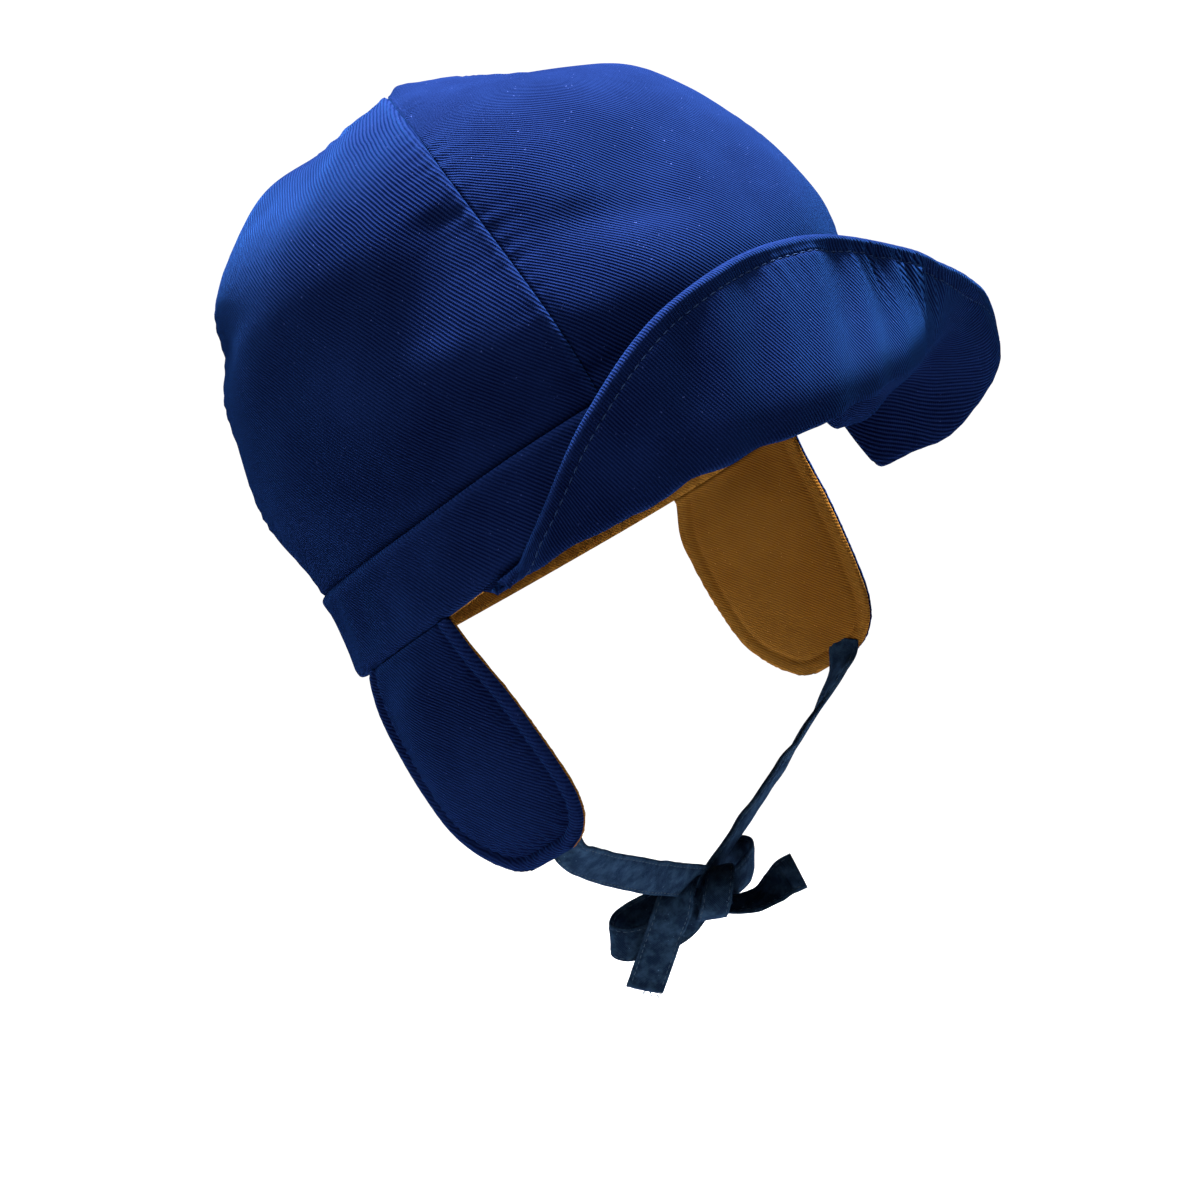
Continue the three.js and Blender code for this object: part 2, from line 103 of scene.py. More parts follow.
# soft folds of the crown: turn, walk, turn at the other end, walk there, half width, sink
FOLDS = [
    (96, .86, 108, .66, 8, 2.6),
    (52, .4, 62, .27, 8, 2),
    (30, .3, 12, .26, 9, 1.8),
    (84, .13, 100, .24, 8, 1.6),
    (-62, .45, -74, .25, 9, 2.4),
    (-160, .5, -150, .25, 9, 2.2),
    (168, .13, 150, .3, 8, 2.4),
]
# swells of the crown: turn, walk, half width round, half width up, rise in mm
SWELLS = [
    (131, .46, 38, 20, -5.2),
    (116, .70, 40, 22, 4.6),
    (68, .70, 18, 18, 2.0),
    (-20, .70, 38, 34, -3.6),
    (-35, .31, 38, 26, 3.2),
    (22, .91, 26, 12, 1.8),
]
# across the peak, foot's turn, fold out, fold drop, edge out, edge up, edge's turn ahead of the foot's,
# curl of the edge in mm
PEAK = np.array([
    (-1, -82, .9, 1.1, .30, -.62, 0, 4),
    (-.9, -73.8, 1.9, 1.3, .64, -.73, 0, 8),
    (-.8, -65.6, 2.8, 1.1, .95, -.56, 0, 12),
    (-.7, -57.4, 3.1, .75, .93, -.21, 0, 9),
    (-.6, -49.2, 2.5, .6, .79, .11, 0, 2),
    (-.5, -41, 1.8, .72, .57, .37, 0, 0),
    (-.35, -28.7, 1.25, .87, .375, .588, 0, 0),
    (0, 0, 1, 1, .19, .985, 0, 0),
    (.35, 28.7, 1, .83, .194, .91, 0, 0),
    (.6, 49.2, .92, .66, .179, .54, .5, 0),
    (.8, 65.6, .74, .42, .125, .17, 2.8, 0),
    (.9, 73.8, .55, .36, .11, .02, 4.5, 0),
    (1, 81, .35, .3, .1, -.1, 6.5, 0),
])
# depth, front and back edge of the earflap in FLAP_WIDTH
FLAP = np.array([
    (0, .02, .85),
    (.15, .02, .94),
    (.35, 0, .97),
    (.55, 0, .965),
    (.72, .01, .93),
    (.84, .035, .85),
    (.93, .1, .745),
    (.98, .19, .65),
    (1, .27, .56),
])
# centre lines of the bow in mm from the knot: side, near, up, then the direction across the strap
TAIL_FRONT = [
    (-6, -3, 1, .75, .1, .6),
    (-8.6, 1.5, 4.6, .8, .1, .55),
    (-10.6, 6.5, 4.2, .86, .1, .48),
    (-12.8, 9, -1.2, .92, .05, .38),
    (-15.5, 8, -10, .95, 0, .3),
    (-18.2, 6.8, -20, .96, 0, .26),
    (-21.4, 5.5, -31.5, .96, 0, .24),
]
LOOP_LEFT = [
    (0, -1, -1, .1, -.2, 1),
    (-10, -5, -5, .1, -.2, 1),
    (-21, -6, -10, 0, -.1, 1),
    (-30, -2.5, -14, -.05, 0, 1),
    (-31.5, 1.5, -15.5, -.08, 0, 1),
    (-28, 3.8, -16, -.05, 0, 1),
    (-19, 3.5, -14, .1, 0, 1),
    (-9, 3, -8.5, .35, 0, .9),
    (0, 1, -1, .5, 0, .8),
]
LOOP_FAR = [
    (0, 0, 0, 0, .1, 1),
    (8, -8, 1, 0, .1, 1),
    (13, -18, 1.5, 0, .1, 1),
    (13, -25, 1, 0, 0, 1),
    (9.5, -27, .5, 0, 0, 1),
    (6, -23, 0, 0, 0, 1),
    (2, -12, 0, 0, .1, 1),
    (0, 0, 0, 0, .1, 1),
]
TAIL_FAR = [
    (2, 0, -3, 0, -1, .1),
    (9, -1.5, -4, 0, -1, 0),
    (15, -3, -3.2, .05, -.97, .15),
    (20, -4.5, 0, .15, -.8, .5),
    (24, -6, 3.2, .2, -.65, .73),
    (28, -7, 5, .22, -.6, .77),
]
KNOT_WRAP = [(1 + 1.5 * math.sin(a), 7.6 * math.cos(a), 1 + 7.8 * math.sin(a), 1, .1, .25)
             for a in np.linspace(-2.6, 4.0, 14)]
# directions across the straps between flap and knot, and how far these sag
TIE_ACROSS = np.array([(-.18, -.6, .75), (-.22, -.5, .8), (-.35, -.26, .9), (-.35, -.24, .91)])
TIE_SAG = 2.5


# ---------------------------------------------------------------- curves
def curve(stops, values, size=1.0):
    """Smooth curve through a table; it ends with no bend."""
    x = np.asarray(stops, float)
    y = np.asarray(values, float) * size

    def at(t):
        t = np.clip(np.asarray(t, float), x[0], x[-1])
        i = np.clip(np.searchsorted(x, t, side="right"), 1, len(x) - 1)
        before = np.where(i == 1, 1, i - 2)
        after = np.where(i == len(x) - 1, i - 1, np.minimum(i + 1, len(x) - 1))
        t0, t1 = x[i - 1], x[i]
        t_before = np.where(i == 1, t1, x[before])
        t_after = np.where(i == len(x) - 1, t0, x[after])
        half = (t1 - t0) / 2
        wp = half / (t0 - t_before)
        wn = half / (t_after - t1)
        p = (t - t0) / (t1 - t0)
        p2, p3 = p * p, p * p * p
        sp = -wp * p3 + 2 * wp * p2 - wp * p
        s0 = (1 + wp) * p3 + (-1.5 - 2 * wp) * p2 + (-.5 + wp) * p + 1
        s1 = (-1 - wn) * p3 + (1.5 + wn) * p2 + .5 * p
        sn = wn * p3 - wn * p2
        return sp * y[before] + s0 * y[i - 1] + s1 * y[i] + sn * y[after]

    return at


girth_at = curve(*MERIDIAN)
lean_at = curve(*LEAN, HALF_BACK)
rim_lift_at = curve(*RIM, RIM_LIFT)


def walk_at_height(height):
    return 1 - np.sqrt(1 - np.asarray(height) / CROWN_HEIGHT)


def wrap(turn):
    """The same turn between -180 and 180 degrees."""
    return (turn + 540) % 360 - 180


def waves(t, seed, scale, count=5):
    """Seeded smooth wandering value of about -1 to 1."""
    rng = np.random.default_rng(seed)
    total = 0
    for k in range(count):
        total = total + np.sin(t / scale * (k + 1) * rng.uniform(.7, 1.3) + rng.uniform(0, 6.3))
    return total / count ** .5


def bell(x):
    return np.exp(-x * x)


def step_up(x):
    """Smooth rise from 0 to 1."""
    x = np.clip(x, 0, 1)
    return x * x * (3 - 2 * x)


def fold_sink(turn, walk):
    """Depth of the crown's soft folds, which shallow out towards their far end."""
    sink = 0
    for t0, w0, t1, w1, width, deep in FOLDS:
        run = math.radians(t1 - t0) * HALF_WIDTH * float(girth_at((w0 + w1) / 2))
        climb = (w1 - w0) * WALK_LENGTH
        across = np.radians(turn - t0) * HALF_WIDTH * np.maximum(girth_at(walk), .1)
        up = (walk - w0) * WALK_LENGTH
        along = np.clip((across * run + up * climb) / (run * run + climb * climb), 0, 1)
        off = np.hypot(across - along * run, up - along * climb) / width
        sink = sink + deep * bell(off) * (1 - along * .5)
    return sink


def swell(turn, walk):
    """Rise of the crown's broad swells."""
    rise = 0
    for t0, w0, round_width, up_width, size in SWELLS:
        across = np.radians(turn - t0) * HALF_WIDTH / round_width
        up = (walk - w0) * WALK_LENGTH / up_width
        rise = rise + size * bell(np.hypot(across, up))
    return rise


def crown_point(turn, walk, inset=0.0):
    """Point of the crown's outer face in the cap's own frame, moved inwards by the inset."""
    turn, walk, inset = np.broadcast_arrays(*(np.asarray(v, float) for v in (turn, walk, inset)))
    girth = girth_at(walk)
    rise = 1 - (1 - walk) ** 2
    slope = (girth_at(walk + .01) - girth_at(walk - .01)) / .02 * HALF_WIDTH
    out, up = 2 * (1 - walk) * CROWN_HEIGHT, -slope
    size = np.hypot(out, up)
    out, up = out / size, up / size
    sin, cos = np.sin(np.radians(turn)), np.cos(np.radians(turn))
    reach = girth * (np.abs(sin) ** PLAN_POWER + np.abs(cos) ** PLAN_POWER) ** (-1 / PLAN_POWER)
    half_depth = np.where(cos > 0, HALF_FRONT, HALF_BACK)
    lift = rim_lift_at(np.abs(wrap(turn))) * (1 - rise) ** 2
    above = np.clip((walk - walk_at_height(BAND_HEIGHT)) * 30, 0, 1)
    sink = above * fold_sink(wrap(turn), walk) * np.clip((1 - walk) * 8, 0, 1)
    depth = inset + sink - swell(wrap(turn), walk)
    return np.stack([
        -(HALF_WIDTH * reach - depth * out) * sin,
        -(half_depth * reach - depth * out) * cos + lean_at(rise),
        rise * CROWN_HEIGHT + lift - depth * up,
    ], -1)


def worn(points):
    """From the cap's own frame to the worn one, in metres."""
    c, s = math.cos(math.radians(TILT)), math.sin(math.radians(TILT))
    x, y, z = points[..., 0], points[..., 1], points[..., 2]
    return np.stack([x, y * c + z * s, -y * s + z * c], -1) / 1000


# ---------------------------------------------------------------- meshes
def linked(name, data):
    thing = bpy.data.objects.new(name, data)
    bpy.context.scene.collection.objects.link(thing)
    return thing


def mesh_piece(name, points, faces, material, nodes, weave, wear):
    mesh = bpy.data.meshes.new(name)
    mesh.from_pydata(np.asarray(points, float).reshape(-1, 3).tolist(), [], faces)
    layer = mesh.attributes.new("weave", "FLOAT_VECTOR", "POINT")
    layer.data.foreach_set("vector", np.asarray(weave, np.float32).ravel())
    layer = mesh.attributes.new("wear", "FLOAT", "POINT")
    layer.data.foreach_set("value", np.asarray(wear, np.float32).ravel())
    mesh.polygons.foreach_set("use_smooth", [True] * len(mesh.polygons))
    mesh.update()
    piece = linked(name, mesh)
    mesh.materials.append(material)
    face_out(mesh)
    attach(piece, "root")
    if nodes:
        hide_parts(*nodes)
    return piece


def face_out(mesh):
    """Turns the faces of a closed body outwards, judged by its signed volume."""
    places = np.zeros(len(mesh.vertices) * 3)
    mesh.vertices.foreach_get("co", places)
    mesh.calc_loop_triangles()
    corners = np.zeros(len(mesh.loop_triangles) * 3, int)
    mesh.loop_triangles.foreach_get("vertices", corners)
    a, b, c = places.reshape(-1, 3)[corners.reshape(-1, 3)].transpose(1, 0, 2)
    if np.einsum("ij,ij->i", a, np.cross(b, c)).sum() < 0:
        mesh.flip_normals()


def loft_faces(count, size, ends):
    """Faces of a body lofted through count loops of size points; a strip is closed at both ends."""
    faces = []
    last = count if ends == "ring" else count - 1
    for i in range(last):
        here, there = i * size, (i + 1) % count * size
        for j in range(size):
            k = (j + 1) % size
            faces.append((here + j, here + k, there + k, there + j))
    if ends == "strip":
        for start, turned in ((0, True), ((count - 1) * size, False)):
            for j in range(size // 2 - 1):
                face = (start + j, start + j + 1, start + size - 2 - j, start + size - 1 - j)
                faces.append(face[::-1] if turned else face)
    return faces


def arc_length(points):
    """Running length along the first axis of a grid of points."""
    steps = np.linalg.norm(np.diff(points, axis=0), axis=-1)
    return np.concatenate([np.zeros_like(steps[:1]), np.cumsum(steps, 0)])


# ---------------------------------------------------------------- materials
def new_material(name):
    material = bpy.data.materials.new(name)
    material.use_nodes = True
    tree = material.node_tree
    return material, tree, tree.nodes["Principled BSDF"]


class Nodes:
    def __init__(self, tree):
        self.tree = tree

    def add(self, kind, **values):
        node = self.tree.nodes.new(kind)
        for key, value in values.items():
            setattr(node, key, value)
        return node

    def join(self, value, socket):
        if isinstance(value, bpy.types.NodeSocket):
            self.tree.links.new(value, socket)
        elif value is not None:
            socket.default_value = value

    def math(self, operation, a, b=None, c=None):
        node = self.add("ShaderNodeMath", operation=operation)
        for value, socket in zip((a, b, c), node.inputs):
            self.join(value, socket)
        return node.outputs[0]

    def wave(self, turns):
        swing = self.math("SINE", self.math("MULTIPLY", turns, TURN))
        return self.math("MULTIPLY_ADD", swing, .5, .5)

    def mix(self, share, a, b):
        node = self.add("ShaderNodeMix", data_type="RGBA")
        self.join(share, node.inputs[0])
        self.join(a, node.inputs[6])
        self.join(b, node.inputs[7])
        return node.outputs[2]

    def noise(self, vector, scale, detail=2.0, roughness=.5):
        node = self.add("ShaderNodeTexNoise")
        self.join(vector, node.inputs["Vector"])
        node.inputs["Scale"].default_value = scale
        node.inputs["Detail"].default_value = detail
        node.inputs["Roughness"].default_value = roughness
        return node.outputs[0]

    def ramp(self, value, low, high):
        node = self.add("ShaderNodeMapRange", interpolation_type="SMOOTHSTEP")
        self.join(value, node.inputs[0])
        node.inputs[1].default_value = low
        node.inputs[2].default_value = high
        return node.outputs[0]


def woven(name, ridge, valley_shade, lit, angle, pitch=WEAVE_PITCH, relief=TWILL_RELIEF, sheen=.12, rough=.86,
          tint=(.055, .26, 1), mottle=(22.0, .28)):
    """Twill cloth: slanting ridges of thread, their pitch in mm and their angle in degrees; the valleys
    between them are painted darker as shade.
    """
    material, tree, shader = new_material(name)
    n = Nodes(tree)
    cloth = n.add("ShaderNodeAttribute", attribute_name="weave").outputs["Vector"]
    place = n.add("ShaderNodeTexCoord").outputs["Object"]
    wear = n.add("ShaderNodeAttribute", attribute_name="wear").outputs["Fac"]
    split = n.add("ShaderNodeSeparateXYZ")
    n.join(cloth, split.inputs[0])
    u, v = split.outputs[0], split.outputs[1]
    c, s = math.cos(math.radians(angle)), math.sin(math.radians(angle))
    wander = n.math("SUBTRACT", n.noise(place, WANDER_SCALE), .5)
    across = n.math("MULTIPLY_ADD", u, -s / pitch, n.math("MULTIPLY", v, c / pitch))
    across = n.math("MULTIPLY_ADD", wander, 1.2, across)
    along = n.math("MULTIPLY_ADD", u, c / pitch, n.math("MULTIPLY", v, s / pitch))
    ridges = n.wave(across)
    twist = n.math("MULTIPLY_ADD", n.math("FLOOR", across), .37, n.math("MULTIPLY", along, 1.6))
    beads = n.wave(twist)
    fibre = n.noise(place, FIBRE_SCALE, 2.0, .7)
    height = n.math("MULTIPLY_ADD", beads, BEAD_SHARE, ridges)
    height = n.math("MULTIPLY_ADD", fibre, FIBRE_SHARE, height)
    blotch = n.noise(place, mottle[0], 4.0, .6)
    # thread pattern and fibre specks, with painted shade: the valley colour darkens the recesses between the
    # twill's ridges
    shade = n.math("MULTIPLY_ADD", fibre, .5, n.math("MULTIPLY_ADD", beads, .18, ridges))
    shade = n.ramp(shade, .25, 1.3)
    colour = n.mix(shade, (*valley_shade, 1), (*ridge, 1))
    colour = n.mix(n.math("MULTIPLY", n.ramp(blotch, .35, .75), mottle[1]), colour, (*lit, 1))
    worn_share = n.math("MULTIPLY", wear, n.ramp(n.noise(place, WORN_SCALE, 3.0, .7), .3, .75))
    colour = n.mix(n.math("MULTIPLY", worn_share, .55), colour, (*lit, 1))
    lint = n.ramp(n.noise(place, LINT_SCALE, 0.0), .83, .87)
    pale = [min(1, x * 3 + .04) for x in lit]
    colour = n.mix(n.math("MULTIPLY", lint, .35), colour, (*pale, 1))
    n.join(colour, shader.inputs["Base Color"])
    n.join(n.math("MULTIPLY_ADD", blotch, .1, rough - .05), shader.inputs["Roughness"])
    shader.inputs["Specular IOR Level"].default_value = 0
    shader.inputs["Sheen Weight"].default_value = sheen
    shader.inputs["Sheen Roughness"].default_value = .4
    shader.inputs["Sheen Tint"].default_value = (*tint, 1)
    bump = n.add("ShaderNodeBump")
    bump.inputs["Strength"].default_value = .8
    bump.inputs["Distance"].default_value = relief
    n.join(height, bump.inputs["Height"])
    n.join(bump.outputs[0], shader.inputs["Normal"])
    return material


# the valley colours of these cloths are painted shade in the twill's recesses
BLUE = dict(ridge=(.0042, .0094, .043), valley_shade=(.0001, .0003, .0090), lit=(.0065, .017, .080))
TWILL_FRONT = woven("twill_front", **BLUE, angle=-52)
TWILL_SIDE = woven("twill_side", **BLUE, angle=-58)
TWILL_BAND = woven("twill_band", **BLUE, angle=-51)
TWILL_PEAK = woven("twill_peak", **BLUE, angle=-68)
TWILL_FLAP = woven("twill_flap", **BLUE, angle=-50)
SLATE = woven("slate_tie", ridge=(.0080, .0190, .043), valley_shade=(.0016, .0042, .0110), lit=(.028, .060, .112),
              angle=45, pitch=.42, relief=.00008, tint=(.2, .42, 1), mottle=(260.0, .6))
GOLD = woven("gold_lining", ridge=(.235, .098, .015), valley_shade=(.09, .034, .005), lit=(.29, .14, .028),
             angle=-45, pitch=.8, relief=.0001, sheen=.1, rough=.7, tint=(1, .6, .25))
THREAD = woven("thread", ridge=(.020, .040, .11), valley_shade=(.004, .008, .026), lit=(.04, .07, .15),
               angle=30, pitch=.35, relief=.00005)
TIE_THREAD = woven("tie_thread", ridge=(.045, .075, .12), valley_shade=(.01, .018, .03), lit=(.07, .11, .16),
                   angle=30, pitch=.35, relief=.00005, tint=(.5, .7, 1))


# ---------------------------------------------------------------- crown
def seam_relief(from_edge, along, seed, raised):
    """Outward relief near a panel's seam: one panel's edge lies a little higher, both are puckered."""
    edge = step_up(from_edge / .7)
    roll = bell((from_edge - 1.5) / 1.3) * (.4 if raised else -.25)
    groove = -(.55 if raised else .8) * (1 - edge) - (0 if raised else .3) * bell(from_edge / 3)
    size = .5 + .5 * np.clip(waves(along, seed, 14), -1, 1)
    pucker = np.sin(along / SEAM_PUCKER * TURN + 1.4 * waves(along, seed + 1, 17))
    reach = np.exp(-from_edge / (6 + 3 * waves(along, seed + 2, 21)).clip(2.5, 9))
    return groove + roll + (.34 if raised else .6) * size * pucker * reach * edge


def crown_panel(name, middle, material, raised, seed):
    """One panel, a quarter of the way round; the raised ones lie over their neighbours at the seams."""
    columns, rows = 84, 116
    foot = walk_at_height(BAND_HEIGHT - .6)
    share = np.linspace(-1, 1, columns + 1)
    share = np.sign(share) * (1 - (1 - np.abs(share)) ** 1.25)
    walk = foot + (PANEL_TIP - foot) * np.linspace(0, 1, rows + 1)
    share, walk = np.meshgrid(share, walk, indexing="ij")
    turn = middle + share * PANEL_HALF_TURN
    plain = crown_point(turn, walk)
    half = np.linalg.norm(np.diff(plain, axis=0), axis=-1).sum(0)[None] / 2
    middle_along = arc_length(plain[columns // 2])[None]
    from_edge = (1 - np.abs(share)) * half
    relief = np.where(share > 0, seam_relief(from_edge, middle_along, seed, raised),
                      seam_relief(from_edge, middle_along, seed + 7, raised))
    fade = np.clip((1 - walk) * 14, .15, 1)
    foot_roll = -.5 * bell(middle_along / 1.6) + .25 * bell((middle_along - 4) / 2.5)
    u = share * half
    soft = .6 * waves(u + .6 * middle_along, seed + 20, 26, 3)
    soft = soft * waves(middle_along - .4 * u, seed + 21, 31, 3)
    relief = (relief + soft * step_up(from_edge / 15)) * fade + foot_roll
    outer = crown_point(turn, walk, -relief)
    inner = crown_point(turn, walk, CLOTH)
    loops = np.concatenate([outer, inner[:, ::-1]], 1)
    weave = np.stack([-u, middle_along + 0 * u, 0 * u], -1)
    weave = np.concatenate([weave, weave[:, ::-1]], 1)
    wear = bell((from_edge - 1.6) / 1.2) * (.8 if raised else .35) + .3 * bell((middle_along - 3) / 2)
    wear = np.concatenate([wear, 0 * wear], 1)
    mesh_piece(f"{name}_cloth", worn(loops), loft_faces(columns + 1, 2 * (rows + 1), "strip"),
               material, [name], weave, wear)


crown_panel("crown_front_panel", 0, TWILL_FRONT, False, 11)
crown_panel("crown_side_panel_right", 90, TWILL_SIDE, True, 31)
crown_panel("crown_back_panel", 180, TWILL_FRONT, False, 51)
crown_panel("crown_side_panel_left", -90, TWILL_SIDE, True, 71)


# ---------------------------------------------------------------- band
def band():
    """Ring of doubled cloth, rolled at its lower edge and standing proud of the panels at its upper one."""
    steps = 420
    turn = np.linspace(-180, 180, steps, endpoint=False)
    height, proud = np.array(BAND_SECTION).T
    t, h = np.meshgrid(turn, height, indexing="ij")
    run = np.radians(t) * HALF_WIDTH
    ripple = .2 * waves(run, 5, 9) * bell((h - .9) / .2)
    ripple = ripple + .4 * waves(run + 12 * h, 6, 16) * np.sin(h * math.pi)
    outset = np.broadcast_to(proud, t.shape) * BAND_PROUD + ripple
    outer = crown_point(t, walk_at_height(h * BAND_HEIGHT), -outset)
    inner_h = np.array([1, .75, .5, .25, 0])
    ti, hi = np.meshgrid(turn, inner_h, indexing="ij")
    inner = crown_point(ti, walk_at_height(hi * BAND_HEIGHT), BAND_WALL - BAND_PROUD)
    loops = np.concatenate([outer, inner], 1)
    u = np.concatenate([run, np.radians(ti) * HALF_WIDTH], 1)
    v = np.concatenate([h, hi], 1) * BAND_HEIGHT
    weave = np.stack([-u, v, 0 * u], -1)
    wear = np.concatenate([bell((h - .94) / .05) + bell((h - .06) / .06), 0 * ti], 1)
    mesh_piece("band_cloth", worn(loops), loft_faces(steps, loops.shape[1], "ring"), TWILL_BAND,
               ["band"], weave, wear)


band()


# ---------------------------------------------------------------- lining of crown and band
def crown_lining():
    """Lining of crown and band, gathered at its hem by the rim and closed at the apex."""
    steps = 360
    outset = BAND_WALL - BAND_PROUD + SEAT_GAP
    turn = np.linspace(-180, 180, steps, endpoint=False)
    foot = walk_at_height(BAND_HEIGHT)
    walks = np.concatenate([np.linspace(0, foot, 16), np.linspace(foot, .985, 40)[1:]])
    t, w = np.meshgrid(turn, walks, indexing="ij")
    gather = np.clip(1 - w / foot, 0, 1)
    run = np.radians(t) * HALF_WIDTH
    pleat = 1 + np.sin(run / HEM_PLEAT * TURN + 1.5 * waves(run, 91, 19))
    pleat = pleat * (.7 + .3 * waves(run, 92, 23))
    inset = outset + LINING_CLOTH + .75 * pleat * gather ** .6 + .25 * waves(run + 40 * w, 93, 12)
    inner = crown_point(t, w, inset)
    outer = crown_point(t, w, outset)
    rows, size = len(walks), 2 * len(walks)
    loops = np.concatenate([outer, inner[:, ::-1]], 1)
    v = np.concatenate([w, w[:, ::-1]], 1) * 220
    u = np.concatenate([run, run], 1)
    faces = []
    for i in range(steps):
        here, there = i * size, (i + 1) % steps * size
        for j in range(size):
            k = (j + 1) % size
            if j != rows - 1:
                faces.append((here + j, here + k, there + k, there + j))
    points = worn(loops).reshape(-1, 3)
    outer_tip, inner_tip = len(points), len(points) + 1
    ring = [i * size + rows - 1 for i in range(steps)]
    ring_in = [i * size + rows for i in range(steps)]
    points = np.concatenate([points, points[ring].mean(0)[None], points[ring_in].mean(0)[None]])
    for i in range(steps):
        k = (i + 1) % steps
        faces.append((ring[i], outer_tip, ring[k]))
        faces.append((ring_in[i], ring_in[k], inner_tip))
    weave = np.stack([u, v, 0 * u], -1).reshape(-1, 3)
    weave = np.concatenate([weave, weave[-2:]])
    wear = np.concatenate([np.concatenate([0 * w, gather[:, ::-1]], 1).ravel(), [0, 0]])
    mesh_piece("crown_lining_cloth", points, faces, GOLD, ["lining_crown"], weave, wear)


crown_lining()


# ---------------------------------------------------------------- peak
def catmull(points, t):
    """Uniform smooth line through the rows of points, the ends doubled."""
    last = len(points) - 1
    p = t * last
    i = np.clip(np.floor(p).astype(int), 0, last - 1)
    w = (p - i)[..., None]
    p0, p1 = points[np.maximum(i - 1, 0)], points[i]
    p2, p3 = points[i + 1], points[np.minimum(i + 2, last)]
    v0, v1 = (p2 - p0) * .5, (p3 - p1) * .5
    return (2 * p1 - 2 * p2 + v0 + v1) * w ** 3 + (-3 * p1 + 3 * p2 - 2 * v0 - v1) * w ** 2 + v0 * w + p1


foot_turn_at, fold_out_at, fold_drop_at, edge_out_at, edge_up_at, ahead_at, curl_at = (
    curve(PEAK[:, 0], column) for column in PEAK[:, 1:].T)
# distances from the peak's free edge in mm; they crowd round the rolled edge and the stitch line
STITCH_LINE = 5.5
EDGE_ROWS = np.array([
    0, .08, .25, .5, .85, 1.3, 1.8, 2.3, 2.8, 3.3,
    3.8, 4.3, 4.8, 5.2, STITCH_LINE, 5.8, 6.2, 6.8, 7.6, 8.6,
])
EDGE_BEAD = 2.0
PEAK_HALF_CLOTH = 1.25
# sections shorter than this have a smaller edge
SHORT_SECTION = 14
# how much wider the peak's cloth lies than its foot
PEAK_FULLNESS = 1.15
# columns of the peak that its stitch line runs through
PEAK_ENDS = slice(4, -3)
# share of the curled edge's length that is taken from the section; it ends at this turn
CURL_OVER = .42
CURL_TURN = math.radians(100)
CURL_STEPS = 40


def curled(dense, curl):
    """The section with its free edge turned up along an arc of the given length."""
    length = arc_length(dense)
    dense = dense[length <= length[-1] - CURL_OVER * curl]
    ahead = dense[-1] - dense[-6]
    start = math.atan2(ahead[1], ahead[0])
    angle = start + (CURL_TURN - start) * step_up(np.linspace(0, 1, CURL_STEPS + 1)[1:])
    arc = np.cumsum(np.stack([np.cos(angle), np.sin(angle)], -1), 0) * (curl * (1 + CURL_OVER) / CURL_STEPS)
    return np.concatenate([dense, dense[-1] + arc])


def along_section(s, length, dense):
    return np.stack([np.interp(s, length, dense[:, k]) for k in (0, 1)], -1)


def peak_section(across):
    """Centre line of the peak at one place across it, in rows of out and up, and the length along it."""
    out = float(fold_out_at(across)) * PEAK_FOLD_REACH
    drop = float(fold_drop_at(across)) * PEAK_FOLD_DROP
    fold = np.array([out, -drop * .55])
    edge = np.array([float(edge_out_at(across)) * PEAK_FLARE, float(edge_up_at(across)) * PEAK_HEIGHT])
    stops = np.array([
        (0, -SEAT_GAP - BAND_PROUD * .1),
        (out * .25, -drop * .75),
        (out * .65, -drop),
        fold + (edge - fold) * .1,
        fold + (edge - fold) * .5,
        edge,
    ])
    dense = curled(catmull(stops, np.linspace(0, 1, 240)), max(0, float(curl_at(across))))
    dense = np.concatenate([[(0, PEAK_TUCK)], dense])
    return dense, arc_length(dense)


def peak_half_cloth(from_edge, total):
    """Half the peak's thickness: a rolled edge, then flat cloth with a dent along the stitch line."""
    bead = EDGE_BEAD * min(1, total / SHORT_SECTION)
    rolled = np.sqrt(np.maximum(bead ** 2 - (bead - from_edge) ** 2, 0))
    flat = PEAK_HALF_CLOTH + (bead - PEAK_HALF_CLOTH) * bell((from_edge - bead) / 1.4)
    half = np.where(from_edge < bead, rolled, flat)
    return half - .35 * bell((from_edge - STITCH_LINE) / .55)


def peak_lift(across, run, s, from_edge, total):
    """Gathers behind the stitch line and soft rumples of the whole peak."""
    fold = np.sin(run / PEAK_GATHER * TURN + 1.3 * waves(run, 131, 11) + from_edge * .07)
    reach = 8 + 4 * waves(run, 134, 9) + 9 * step_up((-across - .1) / .3)
    strength = .4 + .6 * np.clip(waves(run, 132, 25) + .4, 0, 1.2)
    gather = bell((from_edge - 6) / reach) * .75 * fold * strength
    rumple = .8 * waves(run + .55 * s, 133, 17, 4) * np.clip(s / 8, 0, 1) * np.clip(from_edge / 6, 0, 1)
    rumple = rumple * min(1, total / 25) * step_up((total - 6) / 8)
    gather = gather * step_up((total - 9) / 12) * (1 - .85 * step_up(float(curl_at(across)) / 6))
    gather = gather * (.22 + .78 * step_up((-across - .02) / .3)) * step_up((across + .62) / .2)
    return (gather + rumple) * np.clip(from_edge / 4, 0, 1)


